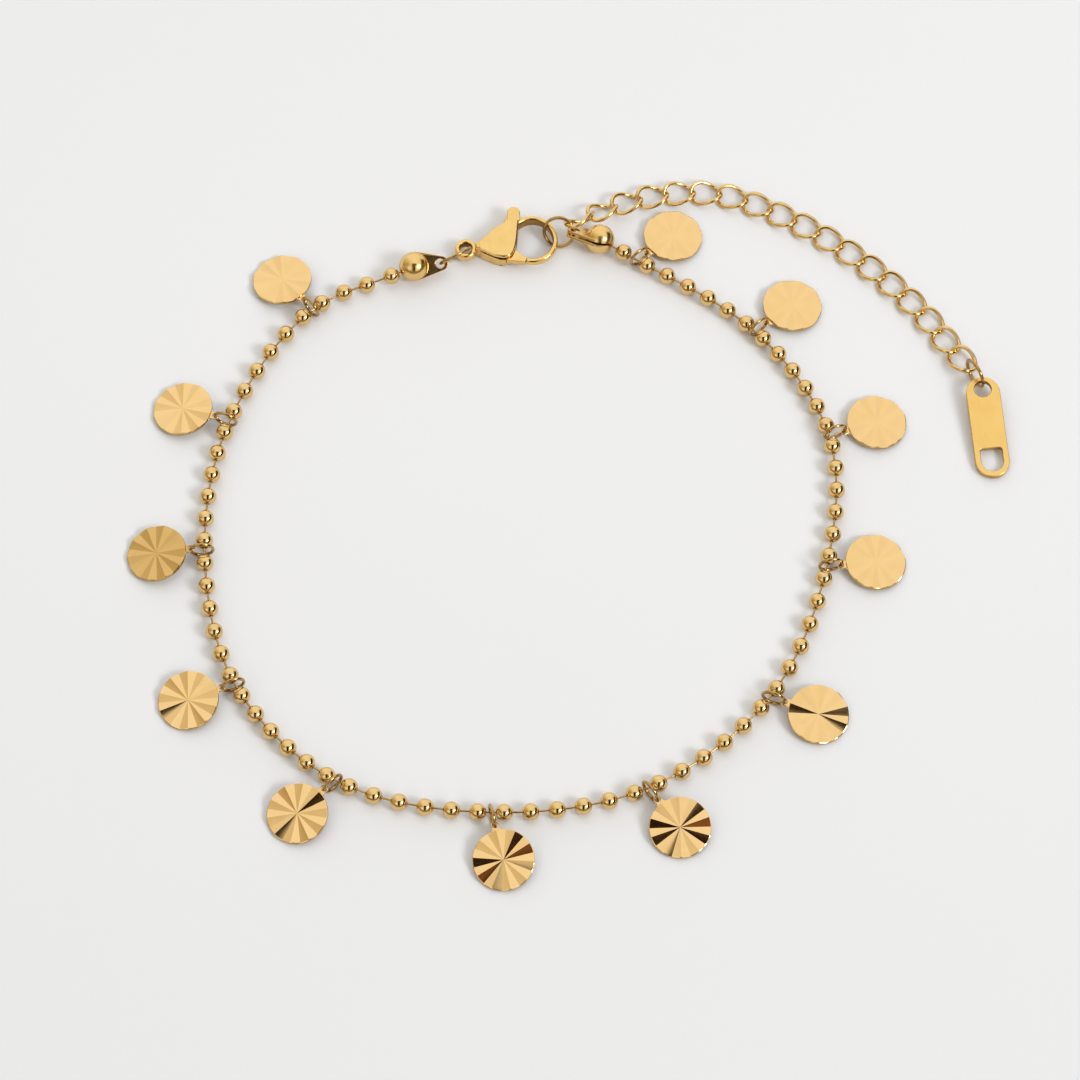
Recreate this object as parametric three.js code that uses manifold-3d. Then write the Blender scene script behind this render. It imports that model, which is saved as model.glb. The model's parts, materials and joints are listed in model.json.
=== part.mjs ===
// A ball-chain anklet with sunburst drops, closed on its lobster clasp and laid on a flat surface.
// Sizes are in millimetres and angles in degrees, with +Z up and the surface at z = 0.
// Places on the surface are given from the middle of the view. At the end the whole anklet is
// moved so that the origin is at the middle of its footprint.

import * as THREE from 'three';
import { mergeVertices } from 'three/addons/utils/BufferGeometryUtils.js';
import Module from 'manifold-3d';

const wasm = await Module();
wasm.setup();

// Driving dimensions

const bead = { radius: 1.0, sides: 10, pinRadius: 0.2, floorGap: 0.005 };

const beadsBeforeFirstDrop = 4;
const beadsBetweenDrops = 6;
const beadsAfterLastDrop = 1;

// Plan places of the two end beads, which sit in the caps, higher than the rest of the chain.
const chainStart = { x: -15.0, y: 35.6, height: 1.77 };
const chainEnd = { x: 7.0, y: 39.4, height: 1.77 };
const chainRise = 5.5;

// Each drop: its place on the chain, the heading that it lies along, how far its disc leans that way and
// rolls to the left of it, and how far its ring's middle stands out from the chain.
const drops = [
  { x: -27.0, y: 30.1, heading: 131, lean: 9, roll: 0, out: 0.2 },
  { x: -36.4, y: 15.0, heading: 162, lean: 10, roll: 0, out: 0.37 },
  { x: -38.7, y: -2.0, heading: 183, lean: 13, roll: 0, out: 0.28 },
  { x: -34.6, y: -19.1, heading: 199, lean: 11, roll: 3, out: 0.31 },
  { x: -22.8, y: -31.0, heading: 222, lean: 13, roll: 0, out: 0.7 },
  { x: -5.5, y: -34.8, heading: 284, lean: 11, roll: -7, out: 0.7 },
  { x: 12.0, y: -31.9, heading: 308, lean: 9, roll: -8, out: 0.67 },
  { x: 26.0, y: -20.7, heading: 341, lean: 8, roll: -4, out: 0.53 },
  { x: 33.0, y: -4.0, heading: 8, lean: 6, roll: 0, out: 0.46 },
  { x: 33.8, y: 13.2, heading: 19, lean: 5, roll: 0, out: 0.7 },
  { x: 25.4, y: 27.2, heading: 39, lean: 5, roll: 0, out: 0.59 },
  { x: 11.5, y: 36.9, heading: 39, lean: 5, roll: 0, out: 0.42 },
];

const dropRing = { radius: 1.3, wire: 0.15, segments: 12, sides: 5, floorGap: 0.01 };

const disc = {
  radius: 3.5, thickness: 0.45, ridges: 10, ridgeHeight: 0.115,
  eyeletReach: 4.1, eyeletRadius: 0.6, eyeletHole: 0.44, eyeletThickness: 0.2, eyeletLift: 0.1,
};

// The caps are folded from sheet: two domes round the end bead and a tongue pierced for a ring.
const cap = {
  radius: 1.75, hollow: 1.32, tongueThickness: 0.9, slit: 0.28, slitReach: 2.9,
  holeReach: 3.2, holeRadius: 0.5, tipRadius: 0.88, pinHole: 0.4,
};

const ringWire = 0.21;
const ringSides = 6;

// Clasp, in its own plane: the hook's centre is at its origin and the eye lies towards -X.
const clasp = {
  x: -0.87, y: 39.3, heading: 8, thickness: 2.2, floorGap: 0.05,
  wall: 0.45, leverGap: 0.14,
  hookRadius: 2.7, hookWidth: 0.62, hookDepth: 1.75, hookTaper: 0.5, hookFrom: 150, hookTo: -118,
  eyeReach: 8.05, eyeRadius: 1.0, eyeWire: 0.35, eyeStretch: 1.2,
  pivotX: -4.3, pivotY: -0.5, rivetRadius: 0.4, rivetGap: 0.1,
  gateReach: 3.76, seam: 0.13, tabX: -1.75, tabY: 4.05, tabRadius: 0.72, neckWidth: 1.1,
  bossRadius: 0.95,
};

const claspRing = { radius: 1.95, heading: 31.2, lean: 27, eyeAngle: -28.5, capAngle: 192, segments: 14 };
const extenderRing = { x: 2.28, y: 40.45, radius: 1.8, uphill: 80, tilt: 50, capAngle: 5, segments: 14 };

const link = {
  count: 18, length: 1.95, width: 1.42, twist: -0.4, wire: 0.2, segments: 12, sides: 5, floorGap: 0.03,
};

// The first links hang from the extender ring and turn flat along the chain.
// The last link is raised by the tag's ring.
const linkRoll = { first: 55, fade: 0.45 };
const headLift = { height: 0.63, reach: 7 };
const tailLift = { height: 0.38, reach: 6.5 };

// Where the extension chain runs, from the middle of its first link to the middle of its last.
const extensionRoute = [
  { x: 4.75, y: 41.8 },
  { x: 8.0, y: 43.9 },
  { x: 13.5, y: 45.9 },
  { x: 21.5, y: 46.2 },
  { x: 29.5, y: 43.0 },
  { x: 37.4, y: 37.7 },
  { x: 44.5, y: 30.8 },
  { x: 49.75, y: 23.25 },
];

const tag = {
  x: 51.76, y: 20.58, heading: -84.9, pitch: 5.5, length: 12.7, width: 4.0, thickness: 0.7,
  holeReach: 1.55, holeRadius: 1.0, slotWidth: 2.6, slotLength: 2.9, slotEnd: 0.7, floorGap: 0.01,
};
const tagRing = { x: 51.1, y: 21.0, radius: 1.7, heading: -60, segments: 12 };

// Finishes: bright polished gold for the metalwork, a softer sheen on the pressed discs.

const polishedGold = { color: 0xe3b45c, roughness: 0.16, metalness: 1.0 };
const satinGold = { color: 0xe8bf72, roughness: 0.3, metalness: 1.0 };

// Helpers

const up = new THREE.Vector3(0, 0, 1);
const rad = THREE.MathUtils.degToRad;

function headingVector(degrees) {
  return new THREE.Vector3(Math.cos(rad(degrees)), Math.sin(rad(degrees)), 0);
}

function toSolid(geometry) {
  const bare = geometry.clone();
  bare.deleteAttribute('normal');
  bare.deleteAttribute('uv');
  const merged = mergeVertices(bare, 1e-4);
  return new wasm.Manifold(new wasm.Mesh({
    numProp: 3,
    vertProperties: new Float32Array(merged.attributes.position.array),
    triVerts: new Uint32Array(merged.index.array),
  }));
}

function toGeometry(solid) {
  const mesh = solid.getMesh();
  const geometry = new THREE.BufferGeometry();
  geometry.setAttribute('position', new THREE.BufferAttribute(mesh.vertProperties.slice(), 3));
  geometry.setIndex(new THREE.BufferAttribute(mesh.triVerts.slice(), 1));
  return geometry;
}

function joined(geometries) {
  return geometries.map(toSolid).reduce((sum, next) => sum.add(next));
}

// A flat outline given thickness, centred on the height z.
function plate(shape, thickness, z, curveSegments) {
  const geometry = new THREE.ExtrudeGeometry(shape, { depth: thickness, bevelEnabled: false, curveSegments });
  return geometry.translate(0, 0, z - thickness / 2);
}

function outline(points) {
  return new THREE.Shape(points.map(([x, y]) => new THREE.Vector2(x, y)));
}

function cylinderZ(radius, height, sides, x, y) {
  return new THREE.CylinderGeometry(radius, radius, height, sides).rotateX(Math.PI / 2).translate(x, y, 0);
}

const anklet = new THREE.Group();

// The axes of a piece, from its own X direction and the direction nearest to its own Z.
function axesOf(along, upward) {
  const x = along.clone().normalize();
  const z = upward.clone().addScaledVector(x, -upward.dot(x)).normalize();
  return new THREE.Matrix4().makeBasis(x, z.clone().cross(x), z);
}

function addPiece(name, geometry, finish, origin, along, upward) {
  const mesh = new THREE.Mesh(geometry, new THREE.MeshStandardMaterial(finish));
  mesh.name = name;
  mesh.position.copy(origin);
  mesh.quaternion.setFromRotationMatrix(axesOf(along, upward));
  anklet.add(mesh);
}

function numbered(name, index) {
  return `${name}_${String(index + 1).padStart(2, '0')}`;
}

// Bead chain: a string of beads whose radius swells from the pin to the bead and back

const stops = [chainStart, ...drops, chainEnd];
const stopPlaces = stops.map((stop) => new THREE.Vector3(stop.x, stop.y, 0));
const route = new THREE.CatmullRomCurve3(stopPlaces, false, 'centripetal');
const stepsPerStop = 40;
route.arcLengthDivisions = stepsPerStop * (stops.length - 1);
const routeLengths = route.getLengths();
const routeLength = routeLengths[routeLengths.length - 1];

// How many beads along the chain each stop lies, counted from the first end bead.
const stopBeads = [0];
drops.forEach((drop, i) => stopBeads.push(beadsBeforeFirstDrop + 0.5 + i * beadsBetweenDrops));
stopBeads.push(stopBeads[drops.length] + beadsAfterLastDrop + 0.5);
const beadCount = stopBeads[stopBeads.length - 1] + 1;

function beadArc(index) {
  const next = Math.max(1, stopBeads.findIndex((count) => count >= index));
  const share = (index - stopBeads[next - 1]) / (stopBeads[next] - stopBeads[next - 1]);
  const from = routeLengths[(next - 1) * stepsPerStop];
  const to = routeLengths[next * stepsPerStop];
  return from + share * (to - from);
}

function chainPoint(arc) {
  const s = THREE.MathUtils.clamp(arc, 0, routeLength);
  const point = route.getPointAt(s / routeLength);
  const lying = bead.radius + bead.floorGap;
  const atStart = 1 - THREE.MathUtils.smoothstep(s, 0, chainRise);
  const atEnd = 1 - THREE.MathUtils.smoothstep(routeLength - s, 0, chainRise);
  point.z = lying + atStart * (chainStart.height - lying) + atEnd * (chainEnd.height - lying);
  return point;
}

function chainDirection(arc) {
  const reach = 0.3;
  return chainPoint(arc + reach).sub(chainPoint(arc - reach)).normalize();
}

const diagonal = bead.radius * Math.SQRT1_2;
const beadShoulder = Math.sqrt(bead.radius ** 2 - bead.pinRadius ** 2);
const beadProfile = [
  { along: -beadShoulder, radius: bead.pinRadius },
  { along: -diagonal, radius: diagonal },
  { along: 0, radius: bead.radius },
  { along: diagonal, radius: diagonal },
  { along: beadShoulder, radius: bead.pinRadius },
];

function beadChainGeometry() {
  const positions = [];
  const faces = [];
  const ringStart = (ring) => 1 + ring * bead.sides;
  const first = chainPoint(0).addScaledVector(chainDirection(0), -bead.radius);
  positions.push(...first.toArray());
  for (let i = 0; i < beadCount; i += 1) {
    const arc = beadArc(i);
    const centre = chainPoint(arc);
    const axis = chainDirection(arc);
    const side = up.clone().cross(axis).normalize();
    const rise = axis.clone().cross(side);
    for (const row of beadProfile) {
      for (let k = 0; k < bead.sides; k += 1) {
        const turn = Math.PI / 2 + (2 * Math.PI * k) / bead.sides;
        const point = centre.clone()
          .addScaledVector(axis, row.along)
          .addScaledVector(side, row.radius * Math.cos(turn))
          .addScaledVector(rise, row.radius * Math.sin(turn));
        positions.push(...point.toArray());
      }
    }
  }
  const last = chainPoint(routeLength).addScaledVector(chainDirection(routeLength), bead.radius);
  positions.push(...last.toArray());
  const rings = beadCount * beadProfile.length;
  const lastIndex = ringStart(rings);
  for (let k = 0; k < bead.sides; k += 1) {
    const next = (k + 1) % bead.sides;
    faces.push(0, ringStart(0) + next, ringStart(0) + k);
    for (let ring = 0; ring + 1 < rings; ring += 1) {
      const a = ringStart(ring);
      const b = ringStart(ring + 1);
      faces.push(a + k, a + next, b + next);
      faces.push(a + k, b + next, b + k);
    }
    faces.push(lastIndex, ringStart(rings - 1) + k, ringStart(rings - 1) + next);
  }
  const geometry = new THREE.BufferGeometry();
  geometry.setAttribute('position', new THREE.Float32BufferAttribute(positions, 3));
  geometry.setIndex(faces);
  return geometry;
}

addPiece('bead_chain', beadChainGeometry(), polishedGold,
  new THREE.Vector3(), new THREE.Vector3(1, 0, 0), up);

// Drops: a ring standing round the chain's pin, and a disc that leans on it with its far rim down

function pleatedDisc() {
  const rim = 2 * disc.ridges;
  const positions = [0, 0, disc.thickness, 0, 0, 0];
  const faces = [];
  for (let i = 0; i < rim; i += 1) {
    const turn = (i * Math.PI) / disc.ridges;
    const x = disc.radius * Math.cos(turn);
    const y = disc.radius * Math.sin(turn);
    const pleat = i % 2 === 0 ? disc.ridgeHeight : -disc.ridgeHeight;
    positions.push(x, y, disc.thickness + pleat, x, y, 0);
  }
  for (let i = 0; i < rim; i += 1) {
    const top = 2 + 2 * i;
    const nextTop = 2 + 2 * ((i + 1) % rim);
    faces.push(0, top, nextTop);
    faces.push(1, nextTop + 1, top + 1);
    faces.push(top, top + 1, nextTop + 1);
    faces.push(top, nextTop + 1, nextTop);
  }
  const geometry = new THREE.BufferGeometry();
  geometry.setAttribute('position', new THREE.Float32BufferAttribute(positions, 3));
  geometry.setIndex(faces);
  return geometry;
}

function discGeometry() {
  const root = disc.radius - disc.eyeletRadius;
  const tab = new THREE.Shape();
  tab.moveTo(root, -disc.eyeletRadius);
  tab.absarc(disc.eyeletReach, 0, disc.eyeletRadius, -Math.PI / 2, Math.PI / 2);
  tab.lineTo(root, disc.eyeletRadius);
  tab.closePath();
  const eyelet = plate(tab, disc.eyeletThickness, disc.eyeletLift + disc.eyeletThickness / 2, 4);
  const hole = cylinderZ(disc.eyeletHole, 3, 8, disc.eyeletReach, 0);
  return toGeometry(joined([pleatedDisc(), eyelet]).subtract(toSolid(hole)));
}

const discShape = discGeometry();
const { radius: dropRadius, wire: dropWire, sides: dropSides, segments: dropSegments } = dropRing;
const dropRingShape = new THREE.TorusGeometry(dropRadius, dropWire, dropSides, dropSegments);

drops.forEach((drop, i) => {
  const outward = headingVector(drop.heading);
  const across = up.clone().cross(outward);
  const lean = rad(drop.lean);
  const towardsChain = outward.clone().multiplyScalar(-Math.cos(lean)).setZ(Math.sin(lean));
  const rolled = up.clone().addScaledVector(across, Math.tan(rad(drop.roll)));
  const normal = new THREE.Vector3().setFromMatrixColumn(axesOf(towardsChain, rolled), 2);

  const ringHeight = dropRadius + dropWire + dropRing.floorGap;
  const eyeletMiddle = disc.eyeletLift + disc.eyeletThickness / 2;
  const discHeight = disc.radius * Math.sqrt(1 - normal.z ** 2) + dropRing.floorGap;
  const eyeletHeight = discHeight + disc.eyeletReach * Math.sin(lean) + eyeletMiddle * normal.z;
  const ringTurn = Math.asin((eyeletHeight - ringHeight) / dropRadius);

  const onChain = new THREE.Vector3(drop.x, drop.y, 0);
  const ringCentre = onChain.clone().addScaledVector(outward, drop.out).setZ(ringHeight);
  addPiece(numbered('drop_ring', i), dropRingShape.clone(), polishedGold, ringCentre, outward, across);

  const discCentre = ringCentre.clone()
    .addScaledVector(outward, dropRadius * Math.cos(ringTurn))
    .setZ(eyeletHeight)
    .addScaledVector(towardsChain, -disc.eyeletReach)
    .addScaledVector(normal, -eyeletMiddle);
  addPiece(numbered('sunburst_disc', i), discShape.clone(), satinGold, discCentre, towardsChain, normal);
});

// End caps: X runs from the end bead to the tip of the tongue, Z through the two domes

function capGeometry(pinDirection) {
  const tangent = Math.acos((cap.radius - cap.tipRadius) / cap.holeReach);
  const tongue = new THREE.Shape();
  tongue.absarc(cap.holeReach, 0, cap.tipRadius, -tangent, tangent);
  tongue.absarc(0, 0, cap.radius, tangent, 2 * Math.PI - tangent);
  tongue.closePath();
  const domes = new THREE.SphereGeometry(cap.radius, 12, 8).rotateX(Math.PI / 2);
  const shell = joined([domes, plate(tongue, cap.tongueThickness, 0, 5)]);
  const hollow = new THREE.SphereGeometry(cap.hollow, 10, 6).rotateX(Math.PI / 2);
  const slitLength = cap.radius + cap.slitReach + 0.2;
  const slit = new THREE.BoxGeometry(slitLength, 4 * cap.radius, cap.slit)
    .translate(cap.slitReach - slitLength / 2, 0, 0);
  const pinTurn = new THREE.Quaternion().setFromUnitVectors(new THREE.Vector3(0, 1, 0), pinDirection);
  const pinWay = new THREE.CylinderGeometry(cap.pinHole, cap.pinHole, 2 * cap.radius, 8)
    .translate(0, cap.radius, 0).applyQuaternion(pinTurn);
  const ringWay = cylinderZ(cap.holeRadius, 3, 10, cap.holeReach, 0);
  const cuts = [hollow, slit, pinWay, ringWay].map(toSolid);
  return toGeometry(cuts.reduce((left, cut) => left.subtract(cut), shell));
}

// A cap hangs by its tongue's hole on a ring and reaches to the chain's end bead.
// The pin leaves towards the chain.
function addCap(name, hole, ringDirection, endBead, pinPoint) {
  const along = hole.clone().sub(endBead).normalize();
  const origin = hole.clone().addScaledVector(along, -cap.holeReach);
  const toLocal = axesOf(along, ringDirection).invert();
  const pinDirection = pinPoint.clone().sub(origin).transformDirection(toLocal);
  addPiece(name, capGeometry(pinDirection), polishedGold, origin, along, ringDirection);
}

// Rings of the fastening

function ringPoint(centre, across, rise, radius, degrees) {
  return centre.clone()
    .addScaledVector(across, radius * Math.cos(rad(degrees)))
    .addScaledVector(rise, radius * Math.sin(rad(degrees)));
}

function ringTangent(across, rise, degrees) {
  return across.clone().multiplyScalar(-Math.sin(rad(degrees))).addScaledVector(rise, Math.cos(rad(degrees)));
}

function addRing(name, centre, across, rise, size) {
  const geometry = new THREE.TorusGeometry(size.radius, ringWire, ringSides, size.segments);
  addPiece(name, geometry, polishedGold, centre, across, across.clone().cross(rise));
}

const claspHeight = clasp.thickness / 2 + clasp.floorGap;
const claspAlong = headingVector(clasp.heading);
const hookCentre = new THREE.Vector3(clasp.x, clasp.y, claspHeight);
const eyeCentre = hookCentre.clone().addScaledVector(claspAlong, -clasp.eyeReach);

const claspRingAcross = headingVector(claspRing.heading);
const claspRingRise = headingVector(claspRing.heading - 90)
  .multiplyScalar(Math.sin(rad(claspRing.lean)))
  .setZ(Math.cos(rad(claspRing.lean)));
const claspRingCentre = ringPoint(
  eyeCentre, claspRingAcross, claspRingRise, -claspRing.radius, claspRing.eyeAngle,
);
addRing('clasp_ring', claspRingCentre, claspRingAcross, claspRingRise, claspRing);

const extenderAcross = headingVector(extenderRing.uphill - 90);
const extenderRise = headingVector(extenderRing.uphill)
  .multiplyScalar(Math.cos(rad(extenderRing.tilt)))
  .setZ(Math.sin(rad(extenderRing.tilt)));
const extenderHeight = extenderRing.radius * Math.sin(rad(extenderRing.tilt)) + ringWire;
const extenderCentre = new THREE.Vector3(extenderRing.x, extenderRing.y, extenderHeight);
addRing('extender_ring', extenderCentre, extenderAcross, extenderRise, extenderRing);

const startHole = ringPoint(
  claspRingCentre, claspRingAcross, claspRingRise, claspRing.radius, claspRing.capAngle,
);
const startTangent = ringTangent(claspRingAcross, claspRingRise, claspRing.capAngle - 180);
addCap('end_cap_left', startHole, startTangent, chainPoint(0), chainPoint(cap.radius));

const endHole = ringPoint(
  extenderCentre, extenderAcross, extenderRise, extenderRing.radius, extenderRing.capAngle,
);
const endTangent = ringTangent(extenderAcross, extenderRise, extenderRing.capAngle);
addCap('end_cap_right', endHole, endTangent, chainPoint(routeLength), chainPoint(routeLength - cap.radius));

// Clasp body: eye, neck, two fan-shaped walls, hook and rivet

const fanOutline = [
  [-7.0, 0.45], [-6.2, 0.6], [-5.4, 1.15], [-4.7, 1.85], [-3.9, 2.3], [-3.3, 2.5],
  [-2.85, 2.95], [-1.25, 3.0],
  [-1.5, 1.9], [-1.85, 0.3], [-2.2, -0.9], [-2.6, -1.65], [-3.1, -2.1], [-3.8, -2.15], [-4.8, -1.8],
  [-5.7, -1.15], [-6.4, -0.65], [-7.0, -0.5],
];
const neckOutline = [[-7.0, 0.45], [-5.6, 0.7], [-5.6, -0.7], [-7.0, -0.5]];
const rootOutline = [
  [-1.28, 2.85], [-1.55, 2.85], [-2.4, 1.25], [-2.4, 0.75], [-1.9, 0.75], [-1.7, 1.25],
];

class HookCurve extends THREE.Curve {
  getPoint(share) {
    const turn = rad(clasp.hookFrom + share * (clasp.hookTo - clasp.hookFrom));
    return new THREE.Vector3(clasp.hookRadius * Math.cos(turn), clasp.hookRadius * Math.sin(turn), 0);
  }
}

function hookBar() {
  const section = new THREE.Shape();
  section.absellipse(0, 0, clasp.hookDepth / 2, clasp.hookWidth / 2, 0, 2 * Math.PI);
  const sweep = { steps: 16, extrudePath: new HookCurve(), curveSegments: 4 };
  const bar = new THREE.ExtrudeGeometry(section, sweep);
  // It thins from the fan to its tip.
  const place = bar.attributes.position;
  for (let i = 0; i < place.count; i += 1) {
    const turn = Math.atan2(place.getY(i), place.getX(i));
    const share = (rad(clasp.hookFrom) - turn) / rad(clasp.hookFrom - clasp.hookTo);
    place.setZ(i, place.getZ(i) * (1 - clasp.hookTaper * share));
  }
  return bar;
}

function claspBodyGeometry() {
  const wallHeight = (clasp.thickness - clasp.wall) / 2;
  const body = joined([
    plate(outline(fanOutline), clasp.wall, wallHeight, 1),
    plate(outline(neckOutline), clasp.thickness, 0, 1),
    plate(outline(rootOutline), clasp.thickness, 0, 1),
    plate(outline(fanOutline), clasp.wall, -wallHeight, 1),
    cylinderZ(clasp.rivetRadius, clasp.thickness - clasp.wall, 10, clasp.pivotX, clasp.pivotY),
    new THREE.TorusGeometry(clasp.eyeRadius, clasp.eyeWire, 6, 14)
      .scale(1, 1, clasp.eyeStretch)
      .translate(-clasp.eyeReach, 0, 0),
  ]);
  // The hook's tip is cut to a circle round the rivet, so the gate can swing past it.
  const swing = cylinderZ(clasp.gateReach + clasp.seam, clasp.thickness, 40, clasp.pivotX, clasp.pivotY);
  const mouth = new THREE.BoxGeometry(4, 4, clasp.thickness).translate(-2, -2.6, 0);
  const hook = toSolid(hookBar()).subtract(toSolid(swing).intersect(toSolid(mouth)));
  return toGeometry(body.add(hook));
}

// Clasp lever: thumb tab, boss on the rivet and a gate that closes the hook

function claspLeverGeometry() {
  const thickness = clasp.thickness - 2 * clasp.wall - 2 * clasp.leverGap;
  const reachX = clasp.tabX - clasp.pivotX;
  const reachY = clasp.tabY - clasp.pivotY;
  const neckTurn = Math.atan2(reachY, reachX);
  const half = clasp.neckWidth / 2;
  const neck = new THREE.Shape();
  neck.moveTo(clasp.pivotX + half * Math.sin(neckTurn), clasp.pivotY - half * Math.cos(neckTurn));
  neck.absarc(clasp.tabX, clasp.tabY, clasp.tabRadius, neckTurn - Math.PI / 2, neckTurn + Math.PI / 2);
  neck.lineTo(clasp.pivotX - half * Math.sin(neckTurn), clasp.pivotY + half * Math.cos(neckTurn));
  neck.closePath();
  const inner = clasp.hookRadius - clasp.hookWidth / 2;
  const outer = clasp.hookRadius + clasp.hookWidth / 2;
  const gate = new THREE.Shape();
  gate.absarc(0, 0, outer, rad(215), rad(255));
  gate.absarc(0, 0, inner, rad(255), rad(200), true);
  gate.lineTo(clasp.pivotX, clasp.pivotY);
  gate.closePath();
  const swing = cylinderZ(clasp.gateReach, clasp.thickness, 40, clasp.pivotX, clasp.pivotY);
  const gatePlate = toSolid(plate(gate, thickness, 0, 8)).intersect(toSolid(swing));
  const boss = cylinderZ(clasp.bossRadius, thickness, 16, clasp.pivotX, clasp.pivotY);
  const rivetHole = clasp.rivetRadius + clasp.rivetGap;
  const rivetWay = cylinderZ(rivetHole, clasp.thickness, 12, clasp.pivotX, clasp.pivotY);
  const lever = joined([boss, plate(neck, thickness, 0, 5)]).add(gatePlate);
  return toGeometry(lever.subtract(toSolid(rivetWay)));
}

addPiece('clasp_body', claspBodyGeometry(), polishedGold, hookCentre, claspAlong, up);
addPiece('clasp_lever', claspLeverGeometry(), polishedGold, hookCentre, claspAlong, up);

// Extension chain: each link is an oval, twisted so that its neighbours pass over one side
// and under the other

class LinkCurve extends THREE.Curve {
  getPoint(share) {
    const turn = 2 * Math.PI * share;
    return new THREE.Vector3(
      link.length * Math.cos(turn),
      link.width * Math.sin(turn),
      link.twist * Math.sin(2 * turn),
    );
  }
}

const linkCurve = new LinkCurve();
const linkShape = new THREE.TubeGeometry(linkCurve, link.segments, link.wire, link.sides, true);
const extension = new THREE.CatmullRomCurve3(extensionRoute.map((p) => new THREE.Vector3(p.x, p.y, 0)));
const extensionLength = extension.getLength();

// How high the middle of a link is when it lies on the surface, rolled about its length.
function linkRest(roll) {
  const points = linkCurve.getPoints(4 * link.segments);
  const depths = points.map((p) => p.y * Math.sin(roll) + p.z * Math.cos(roll));
  return link.floorGap + link.wire + Math.max(...depths);
}

function easedLift(lift, distance) {
  return lift.height * Math.max(0, 1 - distance / lift.reach) ** 2;
}

const links = [];
for (let i = 0; i < link.count; i += 1) {
  const arc = (extensionLength * i) / (link.count - 1);
  const roll = rad(linkRoll.first * linkRoll.fade ** i);
  const lift = easedLift(headLift, arc) + easedLift(tailLift, extensionLength - arc);
  links.push({ roll, centre: extension.getPointAt(arc / extensionLength).setZ(linkRest(roll) + lift) });
}

links.forEach(({ roll, centre }, i) => {
  const before = links[Math.max(0, i - 1)].centre;
  const after = links[Math.min(link.count - 1, i + 1)].centre;
  const along = after.clone().sub(before);
  const left = up.clone().cross(along).normalize();
  const upward = up.clone().multiplyScalar(Math.cos(roll)).addScaledVector(left, Math.sin(roll));
  addPiece(numbered('extension_link', i), linkShape.clone(), polishedGold, centre, along, upward);
});

// Tag and its ring: the ring stands on the surface and lifts the tag's pierced end

const tagRingAcross = headingVector(tagRing.heading);
const tagRingCentre = new THREE.Vector3(tagRing.x, tagRing.y, tagRing.radius + ringWire);
addRing('tag_ring', tagRingCentre, tagRingAcross, up, tagRing);

function tagGeometry() {
  const half = tag.width / 2;
  const shape = new THREE.Shape();
  shape.absarc(half, 0, half, Math.PI / 2, 1.5 * Math.PI);
  shape.absarc(tag.length - half, 0, half, -Math.PI / 2, Math.PI / 2);
  shape.closePath();
  const hole = new THREE.Path();
  hole.absarc(tag.holeReach, 0, tag.holeRadius, 0, 2 * Math.PI);
  const slotHalf = tag.slotWidth / 2;
  const slotRound = tag.length - tag.slotEnd - slotHalf;
  const slotFlat = tag.length - tag.slotEnd - tag.slotLength;
  const slot = new THREE.Path();
  slot.moveTo(slotFlat, -slotHalf);
  slot.absarc(slotRound, 0, slotHalf, -Math.PI / 2, Math.PI / 2);
  slot.lineTo(slotFlat, slotHalf);
  slot.closePath();
  shape.holes.push(hole, slot);
  return new THREE.ExtrudeGeometry(shape, { depth: tag.thickness, bevelEnabled: false, curveSegments: 6 });
}

const tagPitch = rad(tag.pitch);
const tagTop = new THREE.Vector3(tag.x, tag.y, tag.length * Math.sin(tagPitch) + tag.floorGap);
const tagAlong = headingVector(tag.heading).multiplyScalar(Math.cos(tagPitch)).setZ(-Math.sin(tagPitch));
addPiece('end_tag', tagGeometry(), polishedGold, tagTop, tagAlong, up);

// The origin is at the middle of the footprint, on the surface.
anklet.updateMatrixWorld(true);
const extent = new THREE.Box3().setFromObject(anklet, true);
const middle = extent.getCenter(new THREE.Vector3());
anklet.position.set(-middle.x, -middle.y, -extent.min.z);

export default anklet;
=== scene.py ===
import json
import math
import bpy
import numpy as np
from mathutils import Matrix, Vector


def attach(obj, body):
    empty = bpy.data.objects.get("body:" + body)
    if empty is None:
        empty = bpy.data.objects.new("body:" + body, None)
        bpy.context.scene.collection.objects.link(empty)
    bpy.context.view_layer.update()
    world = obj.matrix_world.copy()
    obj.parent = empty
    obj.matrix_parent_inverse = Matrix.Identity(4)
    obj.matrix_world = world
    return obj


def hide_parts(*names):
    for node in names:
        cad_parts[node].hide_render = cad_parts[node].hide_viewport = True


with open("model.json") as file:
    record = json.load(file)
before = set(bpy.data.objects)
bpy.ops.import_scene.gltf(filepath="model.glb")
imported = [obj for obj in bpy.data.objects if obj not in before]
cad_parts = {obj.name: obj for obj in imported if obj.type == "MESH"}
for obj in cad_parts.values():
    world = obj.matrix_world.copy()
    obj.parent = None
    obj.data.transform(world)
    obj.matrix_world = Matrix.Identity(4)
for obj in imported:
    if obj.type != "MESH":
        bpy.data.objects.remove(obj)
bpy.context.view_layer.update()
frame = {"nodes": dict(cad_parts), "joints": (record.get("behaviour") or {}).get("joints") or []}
mm = 0.001
print("frame loaded,", len(frame["nodes"]), "nodes")


# shader maths

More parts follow.
